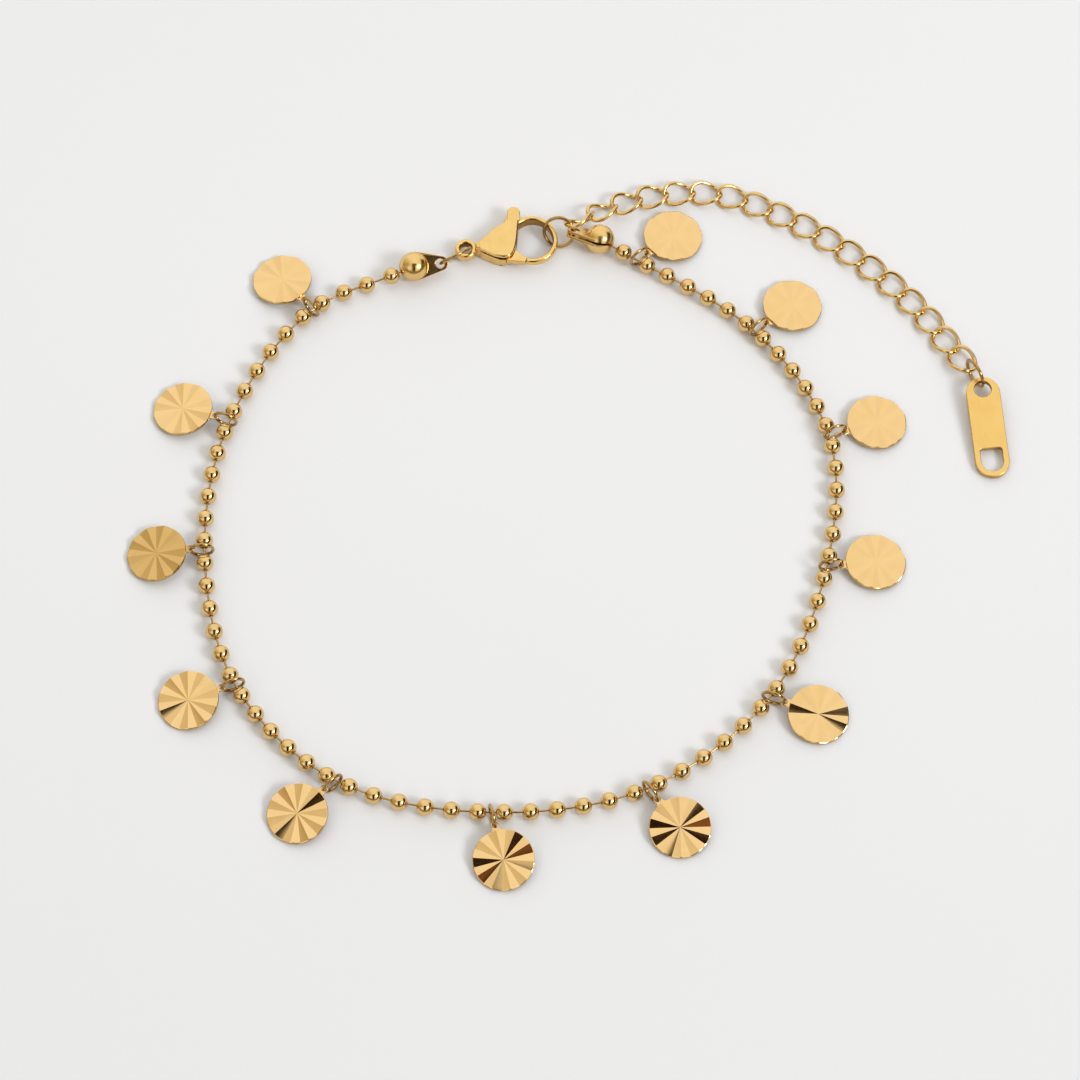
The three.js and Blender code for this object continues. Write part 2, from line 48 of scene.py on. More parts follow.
class Val:  # one socket of a node tree
    def __init__(self, tree, socket=None):
        self.tree = tree
        self.socket = socket

    def feed(self, inlet, value):
        if isinstance(value, Val):
            self.tree.links.new(value.socket, inlet)
        else:
            inlet.default_value = value

    def node(self, kind, settings=None, inlets=None, outlet=0):
        made = self.tree.nodes.new(kind)
        for key, value in (settings or {}).items():
            setattr(made, key, value)
        for key, value in (inlets or {}).items():
            self.feed(made.inputs[key], value)
        return Val(self.tree, made.outputs[outlet])

    def maths(self, operation, a, b=0.0):
        return self.node("ShaderNodeMath", {"operation": operation}, {0: a, 1: b})

    def __add__(self, other):
        return self.maths("ADD", self, other)

    def __radd__(self, other):
        return self.maths("ADD", other, self)

    def __sub__(self, other):
        return self.maths("SUBTRACT", self, other)

    def __rsub__(self, other):
        return self.maths("SUBTRACT", other, self)

    def __mul__(self, other):
        return self.maths("MULTIPLY", self, other)

    def __rmul__(self, other):
        return self.maths("MULTIPLY", other, self)

    def vector(self, operation, a, b=(0, 0, 0), outlet=0):
        return self.node("ShaderNodeVectorMath", {"operation": operation}, {0: a, 1: b}, outlet)

    def span(self, low, high, toLow=0.0, toHigh=1.0):  # smooth step from low to high
        return self.node("ShaderNodeMapRange", {"interpolation_type": "SMOOTHSTEP"},
                         {0: self, 1: low, 2: high, 3: toLow, 4: toHigh})

    def mixColour(self, first, second):  # self is the share of the second
        return self.node("ShaderNodeMix", {"data_type": "RGBA"}, {0: self, 6: first, 7: second}, 2)


def newMaterial(name):
    material = bpy.data.materials.new(name)
    material.use_nodes = True
    shader = material.node_tree.nodes["Principled BSDF"]
    return material, Val(material.node_tree), shader


# gold finishes; the three darker ones paint shade

beadGold = {"colour": (0.78, 0.545, 0.24, 1), "warm": (0.75, 0.505, 0.20, 1), "rough": (0.05, 0.09),
            "cloud": 900.0, "dent": 650.0, "dentHeight": 0.000006}
# a darker gold: painted shade, used whole on the jump rings and the pins and on the discs' side walls, the
# tag's edges and the left cap's tongue
paintedShadeRingGold = {"colour": (0.52, 0.335, 0.12, 1), "warm": (0.45, 0.27, 0.09, 1), "rough": (0.08, 0.14),
            "cloud": 1300.0, "dent": 1100.0, "dentHeight": 0.000006}
linkGold = {"colour": (0.78, 0.555, 0.25, 1), "warm": (0.69, 0.45, 0.165, 1), "rough": (0.07, 0.12),
            "cloud": 1300.0, "dent": 1100.0, "dentHeight": 0.000006}
castGold = {"colour": (0.84, 0.57, 0.22, 1), "warm": (0.81, 0.53, 0.18, 1), "rough": (0.10, 0.16),
            "cloud": 700.0, "dent": 500.0, "dentHeight": 0.000003}
capGold = {"colour": (0.82, 0.56, 0.22, 1), "warm": (0.78, 0.51, 0.18, 1), "rough": (0.18, 0.25),
           "cloud": 700.0, "dent": 500.0, "dentHeight": 0.000003}
tagGold = {"colour": (0.84, 0.555, 0.18, 1), "warm": (0.82, 0.53, 0.16, 1), "rough": (0.22, 0.28),
           "cloud": 400.0, "dent": 2500.0, "dentHeight": 0.0000008}
# darkest gold: painted shade, put in the beads' holes, on the inner walls of the clasp's hook and eye and in
# the tag's hole
paintedShadeGold = {"colour": (0.40, 0.235, 0.07, 1), "warm": (0.34, 0.19, 0.05, 1), "rough": (0.22, 0.32),
              "cloud": 1300.0, "dent": 1100.0, "dentHeight": 0.000006}
# a darker copy of sheetGold: painted shade on one disc
paintedShadeDiscGold = {"colour": (0.66, 0.43, 0.155, 1), "warm": (0.63, 0.40, 0.14, 1), "rough": (0.07, 0.10),
            "cloud": 500.0, "dent": 1500.0, "dentHeight": 0.0000008}
sheetGold = {"colour": (0.84, 0.575, 0.26, 1), "warm": (0.82, 0.55, 0.235, 1), "rough": (0.07, 0.10),
             "cloud": 500.0, "dent": 1500.0, "dentHeight": 0.0000008}
discBrushing = {"lines": 30.0, "depth": 0.3, "rough": 0.02}


def goldMaterial(name, look, brushed=None):
    material, val, shader = newMaterial(name)
    place = val.node("ShaderNodeTexCoord", outlet=3)
    cloud = val.node("ShaderNodeTexNoise", {}, {"Vector": place, "Scale": look["cloud"], "Detail": 4.0})
    low, high = look["rough"]
    rough = cloud.span(0.3, 0.7, low, high)
    fine = val.node("ShaderNodeTexNoise", {}, {"Vector": place, "Scale": look["dent"], "Detail": 2.0})
    height = fine
    if brushed:  # fine lines that run out from the middle of the piece
        turned = val.node("ShaderNodeVectorMath", {"operation": "NORMALIZE"}, {0: place})
        lines = val.node("ShaderNodeTexNoise", {},
                         {"Vector": turned, "Scale": brushed["lines"], "Detail": 3.0})
        height = height + lines * brushed["depth"]
        rough = rough + lines * brushed["rough"]
    colour = cloud.span(0.35, 0.75).mixColour(look["colour"], look["warm"])
    val.feed(shader.inputs["Base Color"], colour)
    val.feed(shader.inputs["Roughness"], rough)
    bump = val.node("ShaderNodeBump", {},
                    {"Strength": 1.0, "Distance": look["dentHeight"], "Height": height})
    val.feed(shader.inputs["Normal"], bump)
    shader.inputs["Metallic"].default_value = 1.0
    return material


goldFor = {
    "bead": goldMaterial("beadGold", beadGold),
    "ring": goldMaterial("paintedShadeRingGold", paintedShadeRingGold),
    "link": goldMaterial("linkGold", linkGold),
    "cast": goldMaterial("castGold", castGold),
    "cap": goldMaterial("capGold", capGold),
    "tag": goldMaterial("tagGold", tagGold),
    "paintedShade": goldMaterial("paintedShadeGold", paintedShadeGold),
    "sheet": goldMaterial("sheetGold", sheetGold, discBrushing),
    "paintedShadeDisc": goldMaterial("paintedShadeDiscGold", paintedShadeDiscGold, discBrushing),  # painted shade: one disc's gold is darker than the others'
}
print("gold finishes made")


# mesh helpers, all in mm

def cadPoints(name):  # the CAD node's own points, each once
    mesh = frame["nodes"][name].data
    points = np.empty(len(mesh.vertices) * 3)
    mesh.vertices.foreach_get("co", points)
    return np.unique(np.round(points.reshape(-1, 3) / mm, 4), axis=0)


def spreadAxes(points):  # middle of the points and their axes, longest first, right-handed
    middle = points.mean(axis=0)
    axes = np.linalg.svd(points - middle, full_matrices=False)[2]
    axes[2] = np.cross(axes[0], axes[1])
    return middle, axes


def widestNormal(name):  # upward normal of the node's largest flat face
    areas = {}
    for face in frame["nodes"][name].data.polygons:
        key = tuple(round(c, 3) for c in face.normal)
        areas[key] = areas.get(key, 0.0) + face.area
    normal = np.array(max(areas, key=areas.get))
    normal /= np.linalg.norm(normal)
    return normal if normal[2] > 0 else -normal


def placed(origin, along, upward):  # matrix in metres for a mesh made in mm
    z = Vector(upward).normalized()
    x = Vector(along)
    x = (x - x.dot(z) * z).normalized()
    y = z.cross(x)
    turn = Matrix((x, y, z)).transposed().to_4x4()
    return Matrix.Translation(Vector(origin) * mm) @ turn


def addMesh(name, points, faces, gold, matrix=None):
    mesh = bpy.data.meshes.new(name)
    mesh.from_pydata((np.asarray(points) * mm).tolist(), [], [list(map(int, f)) for f in faces])
    mesh.shade_smooth()
    mesh.materials.append(goldFor[gold])
    mesh.update()
    piece = bpy.data.objects.new(name, mesh)
    bpy.context.scene.collection.objects.link(piece)
    if matrix is not None:
        piece.matrix_world = matrix
    return piece


def paint(piece, gold, wanted):  # another finish on the faces whose middle and normal are wanted, in mm
    piece.data.materials.append(goldFor[gold])
    for face in piece.data.polygons:
        if wanted(np.array(face.center) / mm, np.array(face.normal)):
            face.material_index = len(piece.data.materials) - 1


def finishPiece(piece, node, body="anklet"):
    lowest = min((piece.matrix_world @ v.co).z for v in piece.data.vertices)
    piece.matrix_world.translation.z -= min(0.0, lowest)  # round wire may dip below the CAD's flats
    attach(piece, body)
    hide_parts(node)
    return piece


def gridFaces(rows, columns, wrapRows, wrapColumns):
    faces = []
    for i in range(rows if wrapRows else rows - 1):
        for j in range(columns if wrapColumns else columns - 1):
            a = i * columns + j
            b = i * columns + (j + 1) % columns
            c = ((i + 1) % rows) * columns + (j + 1) % columns
            d = ((i + 1) % rows) * columns + j
            faces.append((a, b, c, d))
    return faces


def sweep(path, outward, section, closed):  # section: (across, upward) at each step, in mm
    path = np.asarray(path, float)
    if closed:
        tangent = np.roll(path, -1, axis=0) - np.roll(path, 1, axis=0)
    else:
        tangent = np.gradient(path, axis=0)
    tangent /= np.linalg.norm(tangent, axis=1)[:, None]
    out = np.asarray(outward, float)
    out = out - (out * tangent).sum(axis=1)[:, None] * tangent
    out /= np.linalg.norm(out, axis=1)[:, None]
    side = np.cross(tangent, out)
    section = np.asarray(section, float)
    if section.ndim == 2:
        section = np.broadcast_to(section, (len(path),) + section.shape)
    points = path[:, None] + section[..., :1] * out[:, None] + section[..., 1:] * side[:, None]
    count = section.shape[1]
    faces = gridFaces(len(path), count, closed, True)
    points = points.reshape(-1, 3)
    if not closed:
        faces.append(tuple(range(count))[::-1])
        faces.append(tuple(len(points) - count + k for k in range(count)))
    return points, faces


def ellipse(across, upward, count):
    turn = np.arange(count) * 2 * math.pi / count
    return np.stack([across * np.cos(turn), upward * np.sin(turn)], axis=1)


def torus(radius, wire, steps=56, sides=14):
    turn = np.arange(steps) * 2 * math.pi / steps
    path = np.stack([radius * np.cos(turn), radius * np.sin(turn), 0 * turn], axis=1)
    return sweep(path, path, ellipse(wire, wire, sides), True)


def together(parts):  # joins (points, faces) pairs
    points = []
    faces = []
    start = 0
    for partPoints, partFaces in parts:
        points.append(np.asarray(partPoints, float))
        faces += [tuple(int(k) + start for k in face) for face in partFaces]
        start += len(partPoints)
    return np.concatenate(points), faces


def plate(outlines, low, high, bevel, steps=3):  # flat outlines with rounded edges between two heights
    curve = bpy.data.curves.new("plateOutline", "CURVE")
    curve.dimensions = "2D"
    curve.fill_mode = "BOTH"
    curve.extrude = (high - low) / 2 - bevel
    curve.bevel_depth = bevel
    curve.bevel_resolution = steps
    curve.offset = -bevel
    for outline in outlines:
        spline = curve.splines.new("POLY")
        spline.points.add(len(outline) - 1)
        spline.use_cyclic_u = True
        for point, (x, y) in zip(spline.points, outline):
            point.co = (x, y, 0, 1)
    holder = bpy.data.objects.new("plateOutline", curve)
    bpy.context.scene.collection.objects.link(holder)
    bpy.context.view_layer.update()
    mesh = bpy.data.meshes.new_from_object(holder.evaluated_get(bpy.context.evaluated_depsgraph_get()))
    points = np.array([v.co for v in mesh.vertices], float).reshape(-1, 3)
    points[:, 2] += (low + high) / 2
    faces = [tuple(p.vertices) for p in mesh.polygons]
    bpy.data.objects.remove(holder)
    bpy.data.curves.remove(curve)
    bpy.data.meshes.remove(mesh)
    return points, faces


def arc(x, y, radius, start, end, count):  # in degrees; a full circle ends a step before its start
    turn = np.radians(np.linspace(start, end, count))
    return [(x + radius * math.cos(t), y + radius * math.sin(t)) for t in turn]


def softened(corners, share=0.3, steps=6):  # closed outline with each corner rounded
    outline = []
    count = len(corners)
    for k in range(count):
        before, here, after = (np.array(corners[(k + s) % count], float) for s in (-1, 0, 1))
        first = here + (before - here) * share
        last = here + (after - here) * share
        for t in np.linspace(0, 1, steps):
            outline.append(tuple((1 - t) ** 2 * first + 2 * t * (1 - t) * here + t * t * last))
    return outline


def shadeByAngle(piece, degrees):
    piece.data.shade_smooth()
    piece.data.set_sharp_from_angle(angle=math.radians(degrees))


# bead chain

beadChain = {"radius": 1.0, "hole": 0.3, "sink": 0.12, "pin": 0.125, "pinStart": 0.75, "throat": 0.9,
             "around": 32, "along": 18, "pinAround": 12, "reach": 1.25}


def beadPlaces(start):
    points = cadPoints("bead_chain")
    apart = np.linalg.norm(points[:, None, :2] - points[None, :, :2], axis=2)
    lowest = np.where(apart < beadChain["reach"], points[None, :, 2], np.inf).min(axis=1)
    left = list(points[points[:, 2] <= lowest + 0.0001])  # the lowest point of each bead
    places = [np.array(start) - [0, 0, beadChain["radius"]]]
    while left:
        distances = [np.linalg.norm(p - places[-1]) for p in left]
        places.append(left.pop(int(np.argmin(distances))))
    places = np.array(places[1:])
    axes = np.gradient(places, axis=0)
    axes /= np.linalg.norm(axes, axis=1)[:, None]
    rise = np.array([0, 0, 1.0]) - axes[:, 2:] * axes
    return places + beadChain["radius"] * rise / np.linalg.norm(rise, axis=1)[:, None]


def lathe(centre, axis, profile, around):
    axis = np.asarray(axis, float) / np.linalg.norm(axis)
    side = np.cross([0, 0, 1.0], axis)
    side /= np.linalg.norm(side)
    rise = np.cross(axis, side)
    turn = np.arange(around) * 2 * math.pi / around
    ring = np.cos(turn)[:, None] * side + np.sin(turn)[:, None] * rise
    points = [np.asarray(centre) + s * axis + r * ring for s, r in profile]
    return np.concatenate(points), gridFaces(len(profile), around, False, True)


def buildBeadChain(start):
    centres = beadPlaces(start)
    size = beadChain["radius"]
    rim = math.asin(beadChain["hole"] / size)
    throat = beadChain["pin"] * beadChain["throat"]  # the hole closes in on the pin
    profile = [(-size * math.cos(rim) + beadChain["sink"], throat)]
    for turn in np.linspace(math.pi - rim, rim, beadChain["along"]):
        profile.append((size * math.cos(turn), size * math.sin(turn)))
    profile.append((size * math.cos(rim) - beadChain["sink"], throat))
    rows = len(profile) - 1
    parts = []
    for k, centre in enumerate(centres):
        axis = centres[min(k + 1, len(centres) - 1)] - centres[max(k - 1, 0)]
        parts.append(lathe(centre, axis, profile, beadChain["around"]))
    for first, last in zip(centres[:-1], centres[1:]):
        reach = np.linalg.norm(last - first)
        pin = [(beadChain["pinStart"], beadChain["pin"]), (reach - beadChain["pinStart"], beadChain["pin"])]
        parts.append(lathe(first, last - first, pin, beadChain["pinAround"]))
    piece = addMesh("beadChain", *together(parts), "bead")
    # painted shade: the pins get the darker ring gold and the holes' edges the darkest gold
    piece.data.materials.append(goldFor["ring"])
    piece.data.materials.append(goldFor["paintedShade"])
    for k, face in enumerate(piece.data.polygons):
        bead, row = divmod(k // beadChain["around"], rows)
        if bead >= len(centres):
            face.material_index = 1  # the pins: painted shade
        elif row in (0, rows - 1):
            face.material_index = 2  # painted shade in the holes' edges
    return finishPiece(piece, "bead_chain")


# jump rings and links

dropRing = {"radius": 1.3, "wire": 0.19}
claspRing = {"radius": 1.95, "wire": 0.21}
extenderRing = {"radius": 1.8, "wire": 0.21}
tagRing = {"radius": 1.7, "wire": 0.21}
link = {"length": 1.83, "width": 1.42, "twist": -0.4, "wire": 0.25, "steps": 72, "sides": 14}


def buildRing(name, node, size):
    middle, axes = spreadAxes(cadPoints(node))
    # the whole ring in the darker ring gold: painted shade
    piece = addMesh(name, *torus(size["radius"], size["wire"]), "ring", placed(middle, axes[0], axes[2]))
    return finishPiece(piece, node)


def buildLink(index):
    node = f"extension_link_{index:02d}"
    middle, axes = spreadAxes(cadPoints(node))
    turn = np.arange(link["steps"]) * 2 * math.pi / link["steps"]
    path = np.stack([link["length"] * np.cos(turn), link["width"] * np.sin(turn),
                     link["twist"] * np.sin(2 * turn)], axis=1)
    points, faces = sweep(path, path, ellipse(link["wire"], link["wire"], link["sides"]), True)
    matrix = placed(middle, axes[0], axes[2])
    piece = addMesh(f"extensionLink{index:02d}", points, faces, "link", matrix)
    return finishPiece(piece, node)


# sunburst discs

# the last entry picks the one disc whose gold is painted darker, as shade
sunburst = {"radius": 3.5, "thickness": 0.45, "ridges": 10, "ridge": 0.115, "dish": 0.008, "edge": 0.08,
            "steps": 4, "rows": 6, "middle": 0.003, "crease": 30, "paintedShadeDisc": 3}
eyelet = {"centre": 4.1, "reach": 4.7, "outer": 0.47, "hole": 0.32, "low": 0.1, "high": 0.3, "edge": 0.07,
          "inside": (2.6, 0.35), "rootTurn": 12, "bend": (3.55, 0.36), "headTurn": 82}


def discFrame(node):
    normal = widestNormal(node)
    points = cadPoints(node)
    depth = points @ normal
    back = points[depth < depth.min() + 0.01]
    far = points[np.argmax(np.linalg.norm(points - back.mean(axis=0), axis=1))]  # the eyelet's tip
    far = far - (far @ normal - depth.min()) * normal
    towards = (far - back.mean(axis=0)) / np.linalg.norm(far - back.mean(axis=0))
    return far - eyelet["reach"] * towards, towards, normal


def facetLift(k, share):  # height at the rim, part of the way across facet k
    width = math.pi / sunburst["ridges"]
    first = sunburst["ridge"] * (1 if k % 2 == 0 else -1)
    flat = first * (math.sin((1 - share) * width) - math.sin(share * width)) / math.sin(width)
    return flat - sunburst["dish"] * 4 * share * (1 - share)


def sunburstFace():
    size = sunburst["radius"]
    width = math.pi / sunburst["ridges"]
    shares = np.linspace(0, 1, sunburst["steps"] + 1)
    facet = gridFaces(sunburst["rows"], len(shares), False, False)
    points = []
    faces = []
    for k in range(2 * sunburst["ridges"]):  # each facet has its own points, so its edges stay crisp
        start = len(points)
        for radius in np.linspace(sunburst["middle"], 1.0, sunburst["rows"]) * (size - sunburst["edge"]):
            for share in shares:
                turn = (k + share) * width
                points.append((radius * math.cos(turn), radius * math.sin(turn),
                               sunburst["thickness"] + facetLift(k, share) * radius / size))
        faces += [tuple(start + i for i in face[::-1]) for face in facet]
    return points, faces


def sunburstRim():
    size = sunburst["radius"]
    edge = sunburst["edge"]
    steps = sunburst["steps"]
    count = 2 * sunburst["ridges"] * steps
    points = []
    rounded = edge * 0.3
    face = [(edge, 0.0), (rounded, rounded), (0.0, edge)]  # inset and drop of the rounded front edge
    for inset, drop in face:
        for j in range(count):
            turn = j * math.pi / sunburst["ridges"] / steps
            lift = facetLift(j // steps, j % steps / steps) * (size - inset) / size
            height = sunburst["thickness"] + lift - drop
            points.append(((size - inset) * math.cos(turn), (size - inset) * math.sin(turn), height))
    for inset in (0.0, edge):  # the flat back, with its edge broken
        for j in range(count):
            turn = j * math.pi / sunburst["ridges"] / steps
            points.append(((size - inset) * math.cos(turn), (size - inset) * math.sin(turn), edge - inset))
    rows = len(points) // count
    faces = [quad[::-1] for quad in gridFaces(rows, count, False, True)]
    faces.append(tuple((rows - 1) * count + k for k in range(count))[::-1])
    return points, faces


def eyeletOutline():
    centre = eyelet["centre"]
    outer = eyelet["outer"]
    rootTurn = math.radians(eyelet["rootTurn"])
    root = np.array([sunburst["radius"] * math.cos(rootTurn), sunburst["radius"] * math.sin(rootTurn)])
    bend = np.array(eyelet["bend"])
    tip = np.array([centre - 0.08, outer * 0.985])  # just before the head's arc begins
    upper = [eyelet["inside"]]
    for t in np.linspace(0, 1, 9):
        upper.append(tuple((1 - t) ** 2 * root + 2 * t * (1 - t) * bend + t * t * tip))
    head = arc(centre, 0, outer, eyelet["headTurn"], -eyelet["headTurn"], 29)
    lower = [(x, -y) for x, y in upper[::-1]]
    return upper + head + lower


def buildDisc(index):
    node = f"sunburst_disc_{index:02d}"
    middle, towards, normal = discFrame(node)
    hole = arc(eyelet["centre"], 0, eyelet["hole"], 0, 348, 30)
    loop = plate([eyeletOutline(), hole], eyelet["low"], eyelet["high"], eyelet["edge"])
    face = sunburstFace()
    rim = sunburstRim()
    points, faces = together([face, rim, loop])
    # painted shade: one disc gets the darker sheet gold
    gold = "paintedShadeDisc" if index == sunburst["paintedShadeDisc"] else "sheet"
    piece = addMesh(f"sunburstDisc{index:02d}", points, faces, gold, placed(middle, towards, normal))
    # painted shade: the side wall and back get the darker ring gold
    piece.data.materials.append(goldFor["ring"])
    around = 2 * sunburst["ridges"] * sunburst["steps"]
    wall = len(face[1]) + 2 * around
    for side in piece.data.polygons[wall:len(face[1]) + len(rim[1])]:
        side.material_index = 1  # painted shade on the side wall and back
    shadeByAngle(piece, sunburst["crease"])
    return finishPiece(piece, node)


# end caps

endCap = {"radius": 1.75, "sheet": 0.32, "slit": 0.14, "reach": 3.2, "tip": 0.88, "edge": 0.07,
          "hole": 3.12, "holeRadius": 0.58, "seat": 0.36, "seatTurn": 80, "around": 40,
          "foldTurn": 62, "foldInset": 0.17, "foldAcross": 0.16, "foldUp": 0.43, "crease": 40}


def capFrame(node):
    upward = widestNormal(node)
    points = cadPoints(node)
    depth = points @ upward
    middle = (points[np.argmax(depth)] + points[np.argmin(depth)]) / 2  # half way between the domes' tops
    tongue = np.zeros(3)
    for face in frame["nodes"][node].data.polygons:  # the tongue's upper face leads to its tip
        centre = np.array(face.center) / mm - middle
        if np.dot(face.normal, upward) > 0.999 and centre @ upward > endCap["sheet"]:
            tongue += face.area * centre
    return middle, tongue, upward


def capHalf(sign):
    size = endCap["radius"]
    low = endCap["slit"]
    rows = []
    for turn in np.linspace(math.asin(low / size), math.pi / 2 - 0.001, 15):  # outer dome
        rows.append((size * math.cos(turn), size * math.sin(turn)))
    inner = size - endCap["sheet"]
    for turn in np.linspace(math.pi / 2 - 0.001, math.asin(low / inner), 12):  # inner dome
        rows.append((inner * math.cos(turn), inner * math.sin(turn)))
    around = endCap["around"]
    turns = np.arange(around) * 2 * math.pi / around
    dome = np.array([(r * math.cos(t), r * math.sin(t), h) for r, h in rows for t in turns])
    domeFaces = gridFaces(len(rows), around, True, True)
    reach = endCap["reach"]
    tip = endCap["tip"]
    lean = math.degrees(math.acos((size - tip) / reach))
    seat = endCap["seatTurn"]
    outline = arc(reach, 0, tip, -lean, lean, 25)
    outline += arc(0, 0, size, lean, seat, 4)[1:]
    outline += arc(0, 0, size - endCap["seat"], seat, -seat, 17)  # hidden inside the dome's sheet
    outline += arc(0, 0, size, -seat, -lean, 4)[:-1]
    hole = arc(endCap["hole"], 0, endCap["holeRadius"], 0, 348, 30)
    tongue = plate([outline, hole], low, low + endCap["sheet"], endCap["edge"])
    points, faces = together([(dome, domeFaces), tongue])
    points[:, 2] *= sign
    if sign < 0:
        faces = [face[::-1] for face in faces]
    return points, faces


def capFold():  # the bend that joins the two halves past the hole
    reach = endCap["reach"]
    turn = np.radians(np.linspace(-endCap["foldTurn"], endCap["foldTurn"], 25))
    radius = endCap["tip"] - endCap["foldInset"]
    path = np.stack([reach + radius * np.cos(turn), radius * np.sin(turn), 0 * turn], axis=1)
    outward = path - [reach, 0, 0]
    return sweep(path, outward, ellipse(endCap["foldAcross"], endCap["foldUp"], 14), False)


def buildCap(name, node, tongue=None):
    points, faces = together([capHalf(1), capHalf(-1), capFold()])
    piece = addMesh(name, points, faces, "cap", placed(*capFrame(node)))
    shadeByAngle(piece, endCap["crease"])
    # painted shade: the tongue's top faces in the darker gold given by the caller
    if tongue:
        inner = endCap["radius"] - endCap["sheet"]
        paint(piece, tongue, lambda middle, normal: normal[2] > 0.9 and middle[0] > inner)
    return finishPiece(piece, node)


# clasp

clasp = {"heading": 8.0, "pivot": (-4.3, -0.5), "half": 1.1, "cover": 0.58, "coverEdge": 0.25,
         "base": -0.6, "baseEdge": 0.2, "belly": 0.34, "bellyInset": 0.05, "bellyEdge": 0.06,
         "neckInset": 0.06, "neckEdge": 0.2, "rootInset": 0.2, "rootEdge": 0.1,
         "rivet": 0.4, "rivetOver": 0.1, "rivetEdge": 0.02, "crease": 40,
         "hook": 2.7, "hookAcross": 0.33, "hookUp": 0.875, "hookRise": 1.11, "hookTaper": 0.5,
         "hookFrom": 150, "hookTo": -112.4, "eye": -8.05, "eyeRadius": 1.0, "eyeAcross": 0.33, "eyeUp": 0.6,
         "square": 0.7, "sectionSides": 28}
fanCorners = [(-6.55, 0.5), (-6.05, 0.72), (-5.4, 1.15), (-4.7, 1.85), (-3.9, 2.3), (-3.3, 2.5),
              (-2.85, 2.95), (-1.25, 3.0), (-1.5, 1.9), (-1.85, 0.3), (-2.2, -0.9), (-2.6, -1.65),
              (-3.1, -2.1), (-3.8, -2.15), (-4.8, -1.8), (-5.7, -1.2), (-6.15, -0.85), (-6.55, -0.6)]
bellyCorners = [(-6.5, -0.5), (-6.2, -0.85), (-5.7, -1.2), (-4.8, -1.8), (-4.2, -2.08),
                (-4.3, -1.6), (-4.9, -1.45), (-5.5, -0.9), (-5.9, -0.3)]
neckCorners = [(-6.85, 0.4), (-5.6, 0.7), (-5.6, -0.7), (-6.85, -0.45)]
bellyEnd = [(-3.5, -2.2), (-3.5, -1.62)]  # square against the gate
rootCorners = [(-1.28, 2.85), (-1.55, 2.85), (-2.4, 1.25), (-2.4, 0.75), (-1.9, 0.75), (-1.7, 1.25)]


def claspMatrix():  # the hook's centre, from the hinge that the lever turns on
    hinge = Vector(frame["joints"][0]["pos_m"]) / mm
    heading = math.radians(clasp["heading"])
    along = Vector((math.cos(heading), math.sin(heading), 0))
    across = Vector((-along.y, along.x, 0))
    return placed(hinge - clasp["pivot"][0] * along - clasp["pivot"][1] * across, along, (0, 0, 1))


def band(across, upward, count):  # section with flat sides and round edges
    turn = np.arange(count) * 2 * math.pi / count
    c = np.cos(turn)
    s = np.sin(turn)
    square = clasp["square"]
    return np.stack([across * np.sign(c) * np.abs(c) ** square,
                     upward * np.sign(s) * np.abs(s) ** square], axis=1)


def claspHook():
    share = np.linspace(0, 1, 70)
    turn = np.radians(clasp["hookFrom"] + share * (clasp["hookTo"] - clasp["hookFrom"]))
    rise = np.where(np.sin(turn) > 0, clasp["hookRise"], 1.0)  # the upper half is a little taller
    radius = clasp["hook"]
    path = np.stack([radius * np.cos(turn), radius * np.sin(turn) * rise, 0 * turn], axis=1)
    upward = clasp["hookUp"] * (1 - clasp["hookTaper"] * share)
    sections = [band(clasp["hookAcross"], up, clasp["sectionSides"]) for up in upward]
    return sweep(path, path, sections, False)


def claspEye():
    turn = np.arange(48) * 2 * math.pi / 48
    radius = clasp["eyeRadius"]
    path = np.stack([radius * np.cos(turn), radius * np.sin(turn), 0 * turn], axis=1)
    section = band(clasp["eyeAcross"], clasp["eyeUp"], clasp["sectionSides"])
    points, faces = sweep(path, path, section, True)
    return points + [clasp["eye"], 0, 0], faces


def bellyOutline():
    outline = softened(bellyCorners)
    last = max(range(len(outline)), key=lambda k: outline[k][0] - outline[k][1])  # the lower right end
    return outline[:last + 1] + bellyEnd + outline[last + 1:]


def facesIn(middle, normal, x, radius):  # on a wall that looks in at an upright axis through x
    away = middle[:2] - [x, 0]
    reach = np.linalg.norm(away)
    return reach < radius and normal[:2] @ away / reach < -0.55


def buildClaspBody():
    half = clasp["half"]
    neckTop = half - clasp["neckInset"]
    rootTop = half - clasp["rootInset"]
    rivet = arc(*clasp["pivot"], clasp["rivet"], 0, 348, 30)
    over = clasp["rivetOver"]
    parts = [
        plate([softened(fanCorners)], clasp["cover"], half, clasp["coverEdge"], 6),
        plate([softened(fanCorners)], -half, clasp["base"], clasp["baseEdge"], 4),
        plate([bellyOutline()], clasp["bellyInset"] - half, clasp["belly"], clasp["bellyEdge"], 4),
        plate([softened(neckCorners)], -neckTop, neckTop, clasp["neckEdge"], 4),
        plate([softened(rootCorners, 0.2)], -rootTop, rootTop, clasp["rootEdge"], 4),
        plate([rivet], clasp["base"] - over, clasp["cover"] + over, clasp["rivetEdge"]),
        claspHook(),
        claspEye(),
    ]
    piece = addMesh("claspBody", *together(parts), "cast", claspMatrix())
    shadeByAngle(piece, clasp["crease"])
    hookTop = clasp["hook"] * clasp["hookRise"]
    # painted shade: the inner walls of the hook and eye get the darkest gold
    paint(piece, "paintedShade", lambda middle, normal: facesIn(middle, normal, 0, hookTop)
          or facesIn(middle, normal, clasp["eye"], clasp["eyeRadius"]))
    return finishPiece(piece, "clasp_body")


